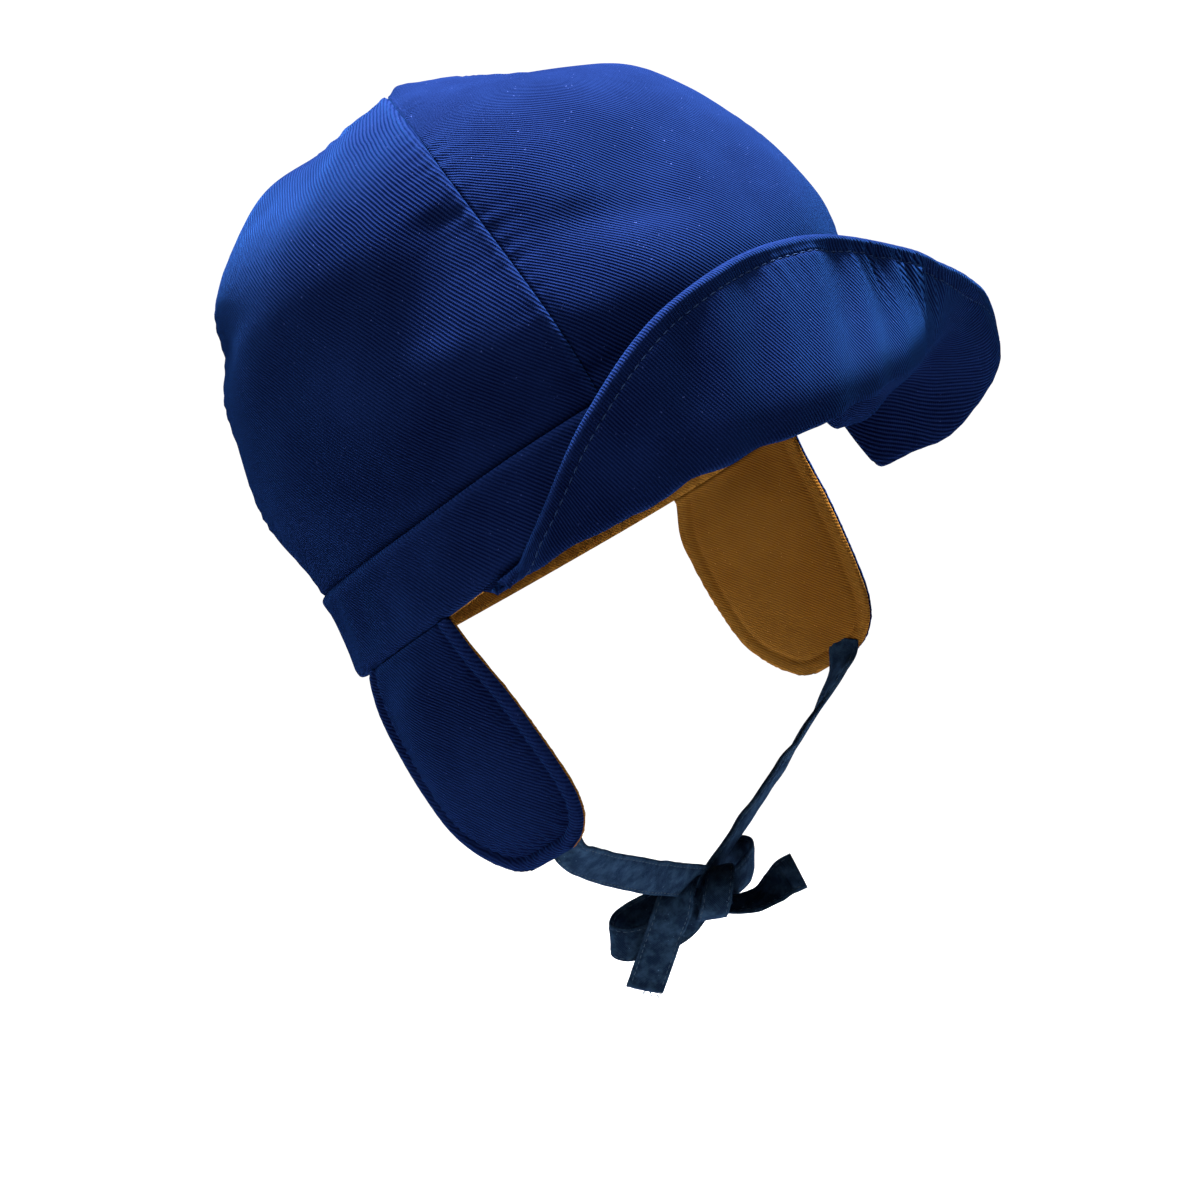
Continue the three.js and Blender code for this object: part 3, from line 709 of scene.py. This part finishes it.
def peak():
    """The peak, built section by section; it gives back the stitch line on both faces."""
    columns, body_rows = 190, 34
    loops, weaves, wears, stitches = [], [], [], []
    last_foot, run = None, 0.0
    for across in np.linspace(-1, 1, columns + 1):
        dense, length = peak_section(across)
        total = length[-1]
        edge_rows = EDGE_ROWS * min(1, total / SHORT_SECTION)
        body = np.linspace(edge_rows[-1], total, body_rows + 1)[1:]
        from_edge = np.concatenate([edge_rows, body])[::-1]
        s = total - from_edge
        here = along_section(s, length, dense)
        ahead = along_section(np.minimum(s + .4, total), length, dense)
        behind = along_section(np.maximum(s - .4, 0), length, dense)
        tangent = ahead - behind
        tangent /= np.maximum(np.linalg.norm(tangent, axis=1, keepdims=True), 1e-9)
        side = np.stack([-tangent[:, 1], tangent[:, 0]], -1)
        turn = float(foot_turn_at(across)) - float(ahead_at(across)) * step_up(s / total)
        foot = crown_point(turn, 0, BAND_WALL / 2 - BAND_PROUD)
        sin, cos = np.sin(np.radians(turn)), np.cos(np.radians(turn))
        if last_foot is not None:
            run += float(np.linalg.norm(foot[0] - last_foot)) * PEAK_FULLNESS
        last_foot = foot[0]
        half = peak_half_cloth(from_edge, total)
        lift = peak_lift(across, run, s, from_edge, total)
        towards_crown, towards_front = (np.stack([
            foot[:, 0] - (here[:, 0] + side[:, 0] * by) * sin,
            foot[:, 1] - (here[:, 0] + side[:, 0] * by) * cos,
            foot[:, 2] + here[:, 1] + side[:, 1] * by,
        ], -1) for by in (half + lift, -half + lift))
        loops.append(np.concatenate([towards_crown, towards_front[::-1]]))
        weave = np.stack([np.full_like(s, -run), s, 0 * s], -1)
        weaves.append(np.concatenate([weave, weave[::-1]]))
        edge_wear = bell((from_edge - 1.2) / 1.6)
        wears.append(np.concatenate([edge_wear, edge_wear[::-1]]))
        row = int(np.argmin(np.abs(from_edge - STITCH_LINE)))
        stitches.append((towards_front[row], towards_crown[row]))
    loops = np.array(loops)
    mesh_piece("peak_cloth", worn(loops), loft_faces(len(loops), loops.shape[1], "strip"), TWILL_PEAK,
               ["peak"], np.array(weaves), np.array(wears))
    return np.array(stitches)[PEAK_ENDS]


peak_stitch_lines = peak()


# ---------------------------------------------------------------- stitches
STITCH_RINGS = 6
STITCH_SIDES = 6


def thread_body(points, faces, rings, sides):
    """Adds one thread's closed body, whose rings of points are the last ones in the list."""
    base = len(points) - rings * sides
    for i in range(rings - 1):
        here = base + i * sides
        for k in range(sides):
            m = (k + 1) % sides
            faces.append((here + k, here + m, here + sides + m, here + sides + k))
    faces.append(tuple(base + k for k in range(sides))[::-1])
    faces.append(tuple(base + (rings - 1) * sides + k for k in range(sides)))


def stitch_row(line, outward, points, faces, weave, pitch=3.3, size=2.5, thick=.2):
    """Thread stitches laid along a line, each a small arched thread; line and outward are in mm."""
    length = arc_length(line)
    arch = np.sin(np.linspace(0, math.pi, STITCH_RINGS))
    radius = thick * (.45 + .55 * arch)
    for start in np.arange(0, length[-1] - size, pitch):
        t = start + np.linspace(0, size, STITCH_RINGS)
        centre = np.stack([np.interp(t, length, line[:, k]) for k in range(3)], -1)
        up = np.stack([np.interp(t, length, outward[:, k]) for k in range(3)], -1)
        up /= np.linalg.norm(up, axis=1, keepdims=True)
        along = np.gradient(centre, axis=0)
        along /= np.maximum(np.linalg.norm(along, axis=1, keepdims=True), 1e-9)
        across = np.cross(along, up)
        centre = centre + up * (thick * (arch * 1.1 - .5))[:, None]
        for i in range(STITCH_RINGS):
            for k in range(STITCH_SIDES):
                a = k / STITCH_SIDES * TURN
                points.append(centre[i] + radius[i] * (across[i] * math.cos(a) * 1.15 + up[i] * math.sin(a)))
                weave.append((k * .3, t[i], 0))
        thread_body(points, faces, STITCH_RINGS, STITCH_SIDES)


def stitched(name, lines, slot, material, to_metres, **sizes):
    """One piece with the stitches of several lines, each given with its outward direction."""
    points, faces, weave = [], [], []
    for line, outward in lines:
        stitch_row(line, outward, points, faces, weave, **sizes)
    mesh_piece(name, to_metres(np.array(points)), faces, material, (), np.array(weave),
               np.zeros(len(points)))


front_line, back_line = peak_stitch_lines[:, 0], peak_stitch_lines[:, 1]
stitched("peak_topstitch", [(front_line, front_line - back_line), (back_line, back_line - front_line)],
         "twill_blue", THREAD, worn)


# ---------------------------------------------------------------- earflaps
flap_front = curve(FLAP[:, 0], FLAP[:, 1], FLAP_WIDTH)
flap_back = curve(FLAP[:, 0], FLAP[:, 2], FLAP_WIDTH)


def flap_y(across, depth):
    """Place across the flap's width, from its front edge to its back edge."""
    return flap_front(depth) + (flap_back(depth) - flap_front(depth)) * across


def flap_point(across, depth, offset):
    """Point of the right earflap between its cloth and its lining, moved outwards by the offset."""
    y = flap_y(across, depth)
    straight = HALF_WIDTH * girth_at(0)
    rim_x = straight * (1 - (np.abs(y) / (HALF_BACK * girth_at(0))) ** PLAN_POWER) ** (1 / PLAN_POWER)
    curved = rim_x + (straight - rim_x) * np.sqrt(depth) * .9 - FLAP_LEAN * depth * FLAP_LENGTH
    turn = np.degrees(np.arctan2(y, rim_x)) + 90
    foot = rim_lift_at(turn)
    return np.stack([-curved - offset, y, foot - depth * FLAP_LENGTH], -1)


def edge_distance(across, depth):
    """Distance in mm from the flap's outline in its flat pattern, and which place on it is nearest."""
    d = np.linspace(0, 1, 160)
    outline = np.concatenate([
        np.stack([flap_front(d), d * FLAP_LENGTH], -1),
        np.stack([np.linspace(flap_front(1.0), flap_back(1.0), 40), np.full(40, FLAP_LENGTH)], -1),
        np.stack([flap_back(d), d * FLAP_LENGTH], -1),
    ])
    here = np.stack([flap_y(across, depth), depth * FLAP_LENGTH], -1)
    gaps = np.linalg.norm(here[..., None, :] - outline, axis=-1)
    return gaps.min(-1), gaps.argmin(-1)


def flap_grid():
    """Places on the flap, closer together near its outline."""
    rows, columns = 84, 64
    depth = np.sin(np.linspace(0, 1, rows + 1) * math.pi / 2)
    across = (1 - np.cos(np.linspace(0, 1, columns + 1) * math.pi)) / 2
    return np.meshgrid(depth, across, indexing="ij")


def rounded(gap, radius):
    """Rise of an edge rolled to the given radius, at a distance from that edge."""
    return radius * np.sqrt(np.clip(1 - (1 - np.clip(gap / radius, 0, 1)) ** 2, 0, 1))


def padding(gap, deep, reach):
    """Rise of the padding, which starts inside the stitch line."""
    return deep * (1 - np.exp(-np.clip(gap - FLAP_STITCH, 0, None) / reach))


def flap_shell(name, mirror, face, back, material, node, weave, wear):
    """Closed body between the flap's face and its back."""
    loops = np.concatenate([face, back[:, ::-1]], 1)
    loops[..., 0] *= mirror
    return mesh_piece(name, worn(loops), loft_faces(len(loops), loops.shape[1], "strip"), material,
                      [node], weave, wear)


def earflap(side, mirror):
    """Padded flap with a rolled edge and a stitch line, and its lining."""
    depth, across = flap_grid()
    gap, nearest = edge_distance(across, depth)
    run = nearest * .9
    roll = rounded(gap, FLAP_ROLL) * (1 - .35 * step_up((gap - FLAP_ROLL) / 2.5))
    stitch = -.6 * bell((gap - 4.6) / .7)
    at_rim = step_up(depth * FLAP_LENGTH / 16)
    puff = padding(gap, 3.1, 8) * at_rim
    pucker = .42 * np.sin(run / FLAP_PUCKER * TURN + 1.5 * waves(run, 210, 13)) * bell((gap - 6.5) / 3.5)
    soft = .75 * waves(depth * 38 - across * 52, 211, 13, 3) * step_up(gap / 12) * at_rim
    outset = SEAT_GAP / 2 + np.maximum(roll + stitch + puff + pucker + soft, 0)
    outer = flap_point(across, depth, outset)
    inner = flap_point(across, depth, SEAT_GAP / 2 + 0 * outset)
    y = flap_y(across, depth)
    weave = np.stack([-y, -depth * FLAP_LENGTH, 0 * y], -1)
    weave = np.concatenate([weave, weave[:, ::-1]], 1)
    wear = bell((gap - 1.6) / 1.5)
    wear = np.concatenate([wear, 0 * wear], 1)
    piece = flap_shell(f"earflap_{side}_cloth", mirror, outer, inner, TWILL_FLAP,
                       f"earflap_{side}", weave, wear)
    inset = rounded(gap, 1.2) - .35 * bell((gap - FLAP_STITCH) / .8) + padding(gap, 1.5, 9) * at_rim
    inset = np.maximum(inset + .25 * soft + .2 * pucker, 0)
    face = flap_point(across, depth, -SEAT_GAP / 2 - inset)
    back = flap_point(across, depth, -SEAT_GAP / 2 + 0 * inset)
    flap_shell(f"earflap_{side}_lining", mirror, face, back, GOLD, f"lining_flap_{side}",
               weave, wear)


earflap("right", 1)
earflap("left", -1)


# ---------------------------------------------------------------- ties and bow
def spline(points, t):
    """Centripetal smooth line through points, at shares t of the way through its rows."""
    p = np.asarray(points, float)
    ends = np.concatenate([[2 * p[0] - p[1]], p, [2 * p[-1] - p[-2]]])
    last = len(p) - 1
    x = np.clip(np.asarray(t, float), 0, 1) * last
    i = np.clip(np.floor(x).astype(int), 0, last - 1)
    w = (x - i)[:, None]
    p0, p1, p2, p3 = (ends[i + k] for k in range(4))
    d0, d1, d2 = (np.maximum(np.linalg.norm(a - b, axis=-1, keepdims=True) ** .5, 1e-4)
                  for a, b in ((p0, p1), (p1, p2), (p2, p3)))
    m1 = ((p1 - p0) / d0 - (p2 - p0) / (d0 + d1) + (p2 - p1) / d1) * d1
    m2 = ((p2 - p1) / d1 - (p3 - p1) / (d1 + d2) + (p3 - p2) / d2) * d1
    return p1 + m1 * w + (-3 * p1 + 3 * p2 - 2 * m1 - m2) * w ** 2 + (2 * p1 - 2 * p2 + m1 + m2) * w ** 3


def bow_rows(table):
    """Centre line and across directions of a bow table, in mm in the worn frame."""
    table = np.asarray(table, float)
    turn = math.radians(BOW_TURN)
    c, s = math.cos(turn), math.sin(turn)
    spin = np.array([[c, -s, 0], [s, c, 0], [0, 0, 1]])
    flip = np.array([1, -1, 1])
    return (table[:, :3] * flip) @ spin.T + KNOT, (table[:, 3:] * flip) @ spin.T


def strap(centre, across, steps, seed, width=TIE_WIDTH, waist=(), hem=0.0):
    """A flat folded strap: rounded edges, a stitch dent along each edge, soft creases."""
    t = np.linspace(0, 1, steps + 1)
    here, wide = spline(centre, t), spline(across, t)
    along = np.gradient(here, axis=0)
    along /= np.linalg.norm(along, axis=1, keepdims=True)
    flat = np.cross(along, wide)
    flat /= np.linalg.norm(flat, axis=1, keepdims=True)
    wide = np.cross(flat, along)
    length = arc_length(here)
    a = np.linspace(-1, 1, STRAP_COLUMNS)
    a = np.concatenate([a, -a])
    a = np.sign(a) * np.abs(a) ** .8
    face = np.array([1] * STRAP_COLUMNS + [-1] * STRAP_COLUMNS)
    body = np.sqrt(np.clip(1 - np.abs(a) ** 8, 0, 1)) * (1 - .34 * bell((np.abs(a) - STITCH_AT) / .07))
    pinch = np.ones(len(t))
    for place, reach, share in waist:
        pinch = pinch - share * bell((length - place * length[-1]) / reach)
    slant = length[:, None] + a * width * .45
    crease = .36 * waves(slant, seed, 9, 4) * (.5 + .5 * waves(length, seed + 1, 17)[:, None])
    gathered = (1 - pinch[:, None]) * 2.6 * np.cos(a * math.pi * 1.5)
    to_end = length[-1] - length
    fold = 1 + hem * (bell((to_end - 1.6) / 1.8) - .9 * bell((to_end - 4.6) / .7) - .5 * bell(to_end / .5))
    thick = (face * body)[None] * fold[:, None] * TIE_CLOTH / 2
    points = (here[:, None] + wide[:, None] * (a * width / 2 * pinch[:, None])[..., None]
              + flat[:, None] * (thick + crease + gathered)[..., None])
    weave = np.stack([a * width / 2 + 0 * crease, length[:, None] + 0 * crease, 0 * crease], -1)
    ends = bell(length / 1.2) + bell((length[-1] - length) / 1.2)
    wear = np.clip(bell((np.abs(a) - .98) / .1)[None] + ends[:, None], 0, 1) * .95
    columns = [int(np.argmin(np.abs(a[:STRAP_COLUMNS] - x))) for x in (-STITCH_AT, STITCH_AT)]
    pairs = [(k, 2 * STRAP_COLUMNS - 1 - k) for k in columns]
    pairs += [(under, over) for over, under in pairs]
    lines = [(points[2:-2, over], (points[:, over] - points[:, under])[2:-2]) for over, under in pairs]
    return points, weave, wear, lines


def in_metres(points):
    return points / 1000


def strap_piece(name, centre, across, steps, seed, nodes=(), **sizes):
    """One length of strap and the stitches along its edges."""
    points, weave, wear, lines = strap(centre, across, steps, seed, **sizes)
    mesh_piece(name, in_metres(points), loft_faces(len(points), points.shape[1], "strip"), SLATE,
               nodes, weave, wear)
    stitched(f"{name}_stitch", lines, "tie_slate", TIE_THREAD, in_metres, pitch=2.3, size=1.7, thick=.13)


def tie(side, mirror):
    """Strap from inside the flap's lower edge to the knot, sagging a little."""
    inside = worn(flap_point(.3, .93, -SEAT_GAP / 2)) * 1000
    start = worn(flap_point(.21, 1.0, -SEAT_GAP / 2)) * 1000
    end = KNOT + np.array([3, 4, 2])
    middle = (start + end) / 2 - np.array([0, 0, TIE_SAG])
    near_start = start + (middle - start) * .12
    centre = np.array([inside, near_start, middle, end]) * np.array([mirror, 1, 1])
    across = TIE_ACROSS * np.array([mirror, 1, 1])
    strap_piece(f"tie_strap_{side}", centre, across, 90, 310 + mirror, [f"chin_tie_{side}"])


tie("right", 1)
tie("left", -1)
LOOP_WAIST = [(0, 8, .35), (1, 8, .35)]
strap_piece("bow_tail_front", *bow_rows(TAIL_FRONT), 70, 321, hem=.45)
strap_piece("bow_loop_left", *bow_rows(LOOP_LEFT), 120, 322, waist=LOOP_WAIST)
strap_piece("bow_loop_far", *bow_rows(LOOP_FAR), 90, 323, waist=LOOP_WAIST)
strap_piece("bow_tail_far", *bow_rows(TAIL_FAR), 60, 324, waist=[(0, 6, .35)], hem=.45)
strap_piece("bow_knot", *bow_rows(KNOT_WRAP), 90, 325, ["chin_bow"], width=9.5)


def knot_core():
    """Folds of the straps gathered inside the knot."""
    angle = np.linspace(0, TURN, 64, endpoint=False)
    angle, up = np.meshgrid(angle, np.linspace(-.98, .98, 25), indexing="ij")
    round_off = np.sqrt(1 - up ** 2)
    radius = 6 * round_off * (1 + .1 * np.sin(3 * angle + 5 * up))
    radius = radius + .5 * round_off * np.sin(up * 9 + 1.5 * np.sin(angle))
    outer = np.stack([radius * np.cos(angle), radius * np.sin(angle), up * 7], -1)
    loops = np.concatenate([outer, (outer * .5)[:, ::-1]], 1) + KNOT
    weave = np.concatenate([outer, outer[:, ::-1]], 1)
    mesh_piece("bow_knot_core", in_metres(loops), loft_faces(*loops.shape[:2], "ring"), SLATE,
               (), weave, np.zeros(loops.shape[:2]))


knot_core()


def frayed_end(name, table, seed):
    """Loose threads at the cut end of a strap, each a thin bent thread."""
    centre, across = bow_rows(table)
    along = centre[-1] - centre[-2]
    along /= np.linalg.norm(along)
    flat = np.cross(along, across[-1])
    flat /= np.linalg.norm(flat)
    wide = np.cross(flat, along)
    rng = np.random.default_rng(seed)
    points, faces, weave = [], [], []
    for _ in range(FRAY_THREADS):
        start = centre[-1] - along * 1.2 + wide * rng.uniform(-.48, .48) * TIE_WIDTH
        start = start + flat * rng.uniform(-.5, .5)
        heading = along + wide * rng.uniform(-.5, .5) + flat * rng.uniform(-.6, .6)
        bend = wide * rng.uniform(-.9, .9) + flat * rng.uniform(-.9, .9)
        t = np.linspace(0, 1, FRAY_RINGS)
        line = start + (heading * t[:, None] + bend * t[:, None] ** 2) * rng.uniform(1.5, 4)
        for i in range(FRAY_RINGS):
            for k in range(FRAY_SIDES):
                a = k / FRAY_SIDES * TURN
                points.append(line[i] + (wide * math.cos(a) + flat * math.sin(a)) * FRAY_RADIUS)
                weave.append((k * .3, t[i] * 3, 0))
        thread_body(points, faces, FRAY_RINGS, FRAY_SIDES)
    mesh_piece(name, in_metres(np.array(points)), faces, TIE_THREAD, (), np.array(weave),
               np.zeros(len(points)))


FRAY_THREADS = 9
FRAY_RINGS = 7
FRAY_SIDES = 5
FRAY_RADIUS = .15
frayed_end("bow_tail_front_fray", TAIL_FRONT, 401)


# ---------------------------------------------------------------- floor, light, camera
FLOOR_HALF = 12.0
FLOOR_HEIGHT = -.26
WORLD_STRENGTH = .08
KEY_POWER = 800
KEY_PLACE = (.38, .42, 1.05)
SUN_STRENGTH = 5.5
SUN_DIRECTION = (.15, -.25, -1)
FRAME_PIXELS = 1200
FOCAL_PIXELS = 2921
SENSOR = 36
PHOTO_CENTRE = (622.4, 488.9)
CAMERA_TARGET = Vector((0, .00366, .00476))
CAMERA_DISTANCE = .9
CAMERA_AZIMUTH = math.radians(-55.5)
CAMERA_ELEVATION = math.radians(22.1)


def facing(direction):
    return Vector(direction).to_track_quat("-Z", "Y").to_euler()


def stage():
    mesh = bpy.data.meshes.new("floor")
    corners = [(-1, -1), (1, -1), (1, 1), (-1, 1)]
    mesh.from_pydata([(x * FLOOR_HALF, y * FLOOR_HALF, FLOOR_HEIGHT) for x, y in corners], [], [(0, 1, 2, 3)])
    floor = linked("floor", mesh)
    material, _, shader = new_material("floor_white")
    shader.inputs["Base Color"].default_value = (.6, .6, .6, 1)
    shader.inputs["Roughness"].default_value = .9
    mesh.materials.append(material)


def lighting():
    world = bpy.data.worlds.new("studio")
    world.use_nodes = True
    bpy.context.scene.world = world
    background = world.node_tree.nodes["Background"]
    background.inputs["Color"].default_value = (1, 1, 1, 1)
    background.inputs["Strength"].default_value = WORLD_STRENGTH
    data = bpy.data.lights.new("key", "SPOT")
    data.energy = KEY_POWER
    data.spot_size = math.radians(24)
    data.spot_blend = .5
    data.shadow_soft_size = .16
    key = linked("key", data)
    key.location = KEY_PLACE
    key.rotation_euler = facing(Vector((0, 0, .02)) - key.location)
    data = bpy.data.lights.new("sun", "SUN")
    data.energy = SUN_STRENGTH
    data.angle = math.radians(50)
    linked("sun", data).rotation_euler = facing(SUN_DIRECTION)


def camera():
    level = math.cos(CAMERA_ELEVATION)
    back = Vector((math.sin(CAMERA_AZIMUTH) * level, -math.cos(CAMERA_AZIMUTH) * level,
                   math.sin(CAMERA_ELEVATION)))
    data = bpy.data.cameras.new("camera")
    data.sensor_width = SENSOR
    data.lens = FOCAL_PIXELS / FRAME_PIXELS * SENSOR
    data.shift_x = (FRAME_PIXELS / 2 - PHOTO_CENTRE[0]) / FRAME_PIXELS
    data.shift_y = (PHOTO_CENTRE[1] - FRAME_PIXELS / 2) / FRAME_PIXELS
    data.clip_start = .01
    data.clip_end = 100
    view = linked("camera", data)
    view.location = CAMERA_TARGET + back * CAMERA_DISTANCE
    view.rotation_euler = facing(-back)
    bpy.context.scene.camera = view


stage()
lighting()
camera()
bpy.context.scene.view_settings.view_transform = "Standard"
